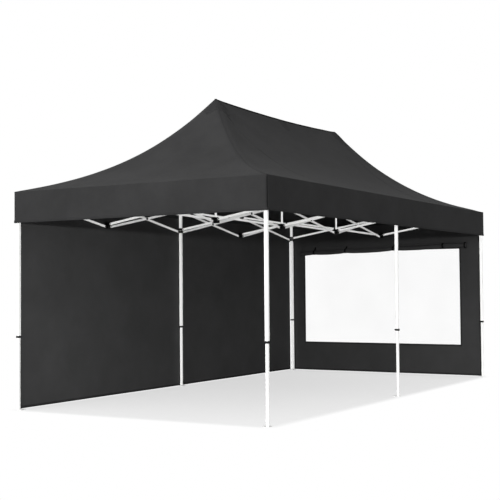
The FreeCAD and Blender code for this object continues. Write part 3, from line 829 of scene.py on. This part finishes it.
# a barrel with a waist: (radius, distance from its front end)
TOGGLE_PROFILE = [
    (0.0, 0.0), (0.0030, 0.0008), (0.0048, 0.0035), (0.0054, 0.009), (0.0046, 0.016),
    (0.0040, 0.0185), (0.0040, 0.0215), (0.0046, 0.024), (0.0054, 0.031), (0.0048, 0.0365),
    (0.0030, 0.0392), (0.0, 0.04)]


def band(y, clearance, start, sweep, steps, stretch=1.0):
    """Path and normals of an arc round the roll at y, in degrees from the wall side."""
    pinch, drop = blind_shape(y)
    radius = ROLL_RADIUS * pinch + clearance
    path, normals = [], []
    for k in range(steps + 1):
        angle = math.radians(start + sweep * k / steps)
        path.append((ROLL_X + radius * math.cos(angle), y,
                     ROLL_Z - drop + radius * math.sin(angle) * stretch))
        normals.append((math.cos(angle), 0, math.sin(angle)))
    return path, normals, radius, ROLL_Z - drop


def strap_and_toggle(y):
    # from the seam above the roll, over its top and round its inner side to beneath it
    arc, arc_normals, radius, axis_z = band(y, 0.0022, start=75, sweep=235, steps=24)
    path = [(RIGHT_X - 0.003, y, WIN_Z1 + 0.075), (RIGHT_X - 0.008, y, WIN_Z1 + 0.058)]
    normals = [(-1, 0, 0.2), (-0.8, 0, 0.6)]
    strap = ribbon("strap", path + arc, normals + arc_normals, 0.022, 0.0012, CORD_AND_CORNER_SHADE, sink=0.0006)
    # the toggle lies along y against the inner side of the roll
    toggle_x, toggle_z = ROLL_X - radius - 0.0065, axis_z - 0.006
    toggle = turned("toggle", TOGGLE_PROFILE, 20,
                    lambda h, a, b: (toggle_x + a, y - 0.020 + h, toggle_z + b))
    return [strap, toggle]


def build_ties():
    pieces = []
    for y in TIES:
        pieces += strap_and_toggle(y)
    # a cord loop draws the front end of the roll together
    path, normals, _, _ = band(blind_lo[1] + 0.022, 0.0045, start=62, sweep=262, steps=33,
                               stretch=1.05)
    pieces.append(ribbon("loop", path, normals, 0.017, 0.0022, CORD_AND_CORNER_SHADE, sink=0.0010))
    return join("blind_straps", pieces)


blind = build_blind()
ties = build_ties()

# ----------------------------------------- black caps over the scissor rivets
CELL = 1.465                       # spacing of the frame's columns
BAR_TOP_Z = 2.195
LONG_PIVOT_Z = (BAR_TOP_Z + 1.940) / 2
CROSS_PIVOT_Z = (BAR_TOP_Z + 1.968) / 2
# (radius, distance from the middle of the scissor pair)
CAP_PROFILE = [
    (0.0, 0.01625), (0.0076, 0.01625), (0.0076, 0.0137), (0.0138, 0.0137), (0.0152, 0.0146),
    (0.0152, 0.0168), (0.0140, 0.0181), (0.0075, 0.0189), (0.0, 0.0191)]


def pivot_cap(x, y, z, way):
    """A turned cap that covers a rivet head; way is the axis it faces along."""
    centre, outward, up = Vector((x, y, z)), Vector(way), Vector((0, 0, 1))
    across = outward.cross(up)
    return turned("cap", CAP_PROFILE, 28,
                  lambda h, a, b: centre + outward * h + up * a + across * b)


caps = []  # (object, body it rides)
for side, sign in (("right", 1), ("left", -1)):
    for reach, k in (("inner", 0), ("outer", 1)):
        pieces = [pivot_cap(sign * (k + 0.5) * CELL, j * CELL, LONG_PIVOT_Z, (0, way, 0))
                  for j in (-1, 0, 1) for way in (-1, 1)]
        caps.append((join("pivot_caps_%s_%s" % (side, reach), pieces),
                     "bars_down_%s_%s" % (side, reach)))
# column, its place in cells, the body it rides
COLUMNS = [
    ("left_end", -2, "column_left_end"),
    ("left_bay", -1, "column_left_bay"),
    ("centre", 0, "root"),
    ("right_bay", 1, "column_right_bay"),
    ("right_end", 2, "column_right_end"),
]
for column, i, body in COLUMNS:
    pieces = [pivot_cap(i * CELL, j * CELL, CROSS_PIVOT_Z, (way, 0, 0))
              for j in (-0.5, 0.5) for way in (-1, 1)]
    caps.append((join("cross_pivot_caps_" + column, pieces), body))


# ------------------------------------------------------------------ body map
def attach(made, body, replaces=None):
    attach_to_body(made, body)
    if replaces:
        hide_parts(replaces)


for cap, body in caps:
    attach(cap, body)
attach(canopy, "root", replaces="canopy")
attach(canopy_tapes, "root")
attach(peak_patches, "root")
attach(rear, "root", replaces="rear_wall")
attach(rear_tapes, "root")
END = "column_right_end"
attach(right, END, replaces="right_wall")
attach(window, END, replaces="window_pane")
attach(blind, END, replaces="window_blind")
attach(ties, END, replaces="blind_ties")
attach(right_tapes, END)

# folded up, the columns stand 285 mm apart instead of 1465 mm; here these pieces are only given
# meshes of their own
for piece in (canopy, canopy_tapes, peak_patches):
    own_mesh(piece)
for piece in (rear, rear_tapes):
    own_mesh(piece)
for piece in (blind, ties):
    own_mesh(piece)


# ------------------------------------------------------------------- staging
def floor_material():
    """A painted shadow of the gazebo: a matt floor patch the size of its footprint, shaded by
    the lamps and lifted by a glow, inside the even white of the studio.
    """
    half_x, half_y, fade_width = 2.90, 1.43, 0.16  # the painted shadow patch and its soft edge
    material, tree, shader, output = new_material("floor_with_painted_shadow")
    place = node(tree, "TexCoord").outputs["Object"]
    patches = noise_map(tree, place, Scale=0.6, Detail=6.0)
    set_inputs(tree, shader, {
        "Base Color": ramp(tree, patches, (0.3, 0.375), (0.7, 0.39)),
        "Roughness": 0.85,
        "Specular IOR Level": 0.1})
    axes = node(tree, "SeparateXYZ", {0: place}).outputs
    squares = []
    for axis, half in ((axes[0], half_x), (axes[1], half_y)):
        past = calc(tree, "SUBTRACT", calc(tree, "ABSOLUTE", axis), half)
        past = calc(tree, "MAXIMUM", past, 0.0)
        squares.append(calc(tree, "MULTIPLY", past, past))
    distance = calc(tree, "SQRT", calc(tree, "ADD", *squares))
    fade = ramp(tree, calc(tree, "DIVIDE", distance, fade_width), (0.0, 0.0), (1.0, 1.0),
                interpolation="EASE")
    # only what the camera sees is lifted to white; the light it throws back is the floor's own
    seen = node(tree, "LightPath").outputs["Is Camera Ray"]
    white = node(tree, "Emission", {"Color": (1, 1, 1, 1), "Strength": 1.0})
    lift = calc(tree, "MULTIPLY", seen, 0.63)
    glow = node(tree, "Emission", {"Color": (1, 1, 1, 1), "Strength": lift})
    pale = node(tree, "AddShader", {0: shader.outputs[0], 1: glow.outputs[0]})
    # to the camera: white outside the footprint, and inside it the painted shadow patch
    mixed = node(tree, "MixShader", {
        0: calc(tree, "MULTIPLY", fade, seen), 1: pale.outputs[0], 2: white.outputs[0]})
    set_inputs(tree, output, {0: mixed.outputs[0]})
    return material


def build_floor():
    s = 400.0
    corners = [(-s, -s, 0), (s, -s, 0), (s, s, 0), (-s, s, 0)]
    floor = mesh_object("stage_floor", corners, [(0, 1, 2, 3)], floor_material(), smooth=False)
    floor.location.z = -0.0005


def build_world():
    """White to the camera; as a light it is strongest from the left, dim from the front."""
    world = bpy.data.worlds.new("studio")
    scene.world = world
    world.use_nodes = True
    tree = world.node_tree
    way = node(tree, "SeparateXYZ", {0: node(tree, "TexCoord").outputs["Generated"]}).outputs

    def glow_from(direction, strength):
        return calc(tree, "MULTIPLY", calc(tree, "MAXIMUM", direction, 0.0), strength)

    above = glow_from(way[2], strength=0.40)
    left = glow_from(calc(tree, "MULTIPLY", way[0], -1.0), strength=0.90)
    right_side = glow_from(way[0], strength=0.30)
    behind = glow_from(way[1], strength=0.30)
    ambient = 0.065
    dome = calc(tree, "ADD", calc(tree, "ADD", above, left),
                calc(tree, "ADD", calc(tree, "ADD", right_side, behind), ambient))
    seen = node(tree, "LightPath").outputs["Is Camera Ray"]
    strength = node(tree, "Mix", {0: seen, 2: dome, 3: 1.0}).outputs[0]
    set_inputs(tree, tree.nodes["Background"], {"Color": (1, 1, 1, 1), "Strength": strength})


def add_light(name, kind, direction, energy):
    light = bpy.data.objects.new(name, bpy.data.lights.new(name, kind))
    light.data.energy = energy
    scene.collection.objects.link(light)
    light.rotation_mode = "QUATERNION"
    light.rotation_quaternion = Vector(direction).to_track_quat("-Z", "Y")
    return light


def area_light(name, location, target, size, energy):
    light = add_light(name, "AREA", Vector(target) - Vector(location), energy)
    light.data.shape = "RECTANGLE"
    light.data.size, light.data.size_y = size
    light.location = location
    light.visible_camera = False
    return light


def group(name, members):
    collection = bpy.data.collections.new(name)
    for member in members:
        collection.objects.link(member)
    return collection


def build_lights():
    area_light("key_left", location=(-14, 1, 7), target=(0, 0, 1.6), size=(8, 6), energy=400)
    # the white tubes are lit a little from the front left, like a paper card held up to them
    white = [piece for name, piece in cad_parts.items() if name.startswith(TUBES + POLES)]
    fill = add_light("frame_fill", "SUN", direction=(0.80, 0.58, 0.06), energy=3.5)
    fill.data.angle = 0.6
    fill.light_linking.receiver_collection = group("white_frame_parts", white)
    fill.light_linking.blocker_collection = group("white_frame_shade", white)
    # and the inner faces of the walls from the open left end
    card = area_light("wall_fill", location=(-8, -3.5, 1.93), target=(1.5, 1.2, 1.2),
                      size=(2.4, 0.12), energy=180)
    lit = [rear, rear_tapes, right, right_tapes, blind, ties]
    card.light_linking.receiver_collection = group("wall_parts", lit)
    card.light_linking.blocker_collection = group("wall_shade", [blind, ties, canopy])


def build_camera():
    """Looks in from the front left at chest height; angles are in radians."""
    x, y, z = -11.0342, -6.1177, 1.2223
    yaw, pitch, roll = 0.5367, 0.0360, -0.0081
    data = bpy.data.cameras.new("camera")
    camera = bpy.data.objects.new("camera", data)
    scene.collection.objects.link(camera)
    ahead = Vector((math.cos(pitch) * math.cos(yaw), math.cos(pitch) * math.sin(yaw),
                    math.sin(pitch)))
    level = Vector((math.sin(yaw), -math.cos(yaw), 0))
    upright = level.cross(ahead)
    across = math.cos(roll) * level + math.sin(roll) * upright
    up = -math.sin(roll) * level + math.cos(roll) * upright
    camera.matrix_world = Matrix((
        (across.x, up.x, -ahead.x, x),
        (across.y, up.y, -ahead.y, y),
        (across.z, up.z, -ahead.z, z),
        (0, 0, 0, 1)))
    data.sensor_width = 36.0
    data.lens = 76.13208
    data.clip_end = 2000
    scene.camera = camera


scene = bpy.context.scene
build_floor()
scene.view_settings.view_transform = "Standard"
build_world()
build_lights()
build_camera()
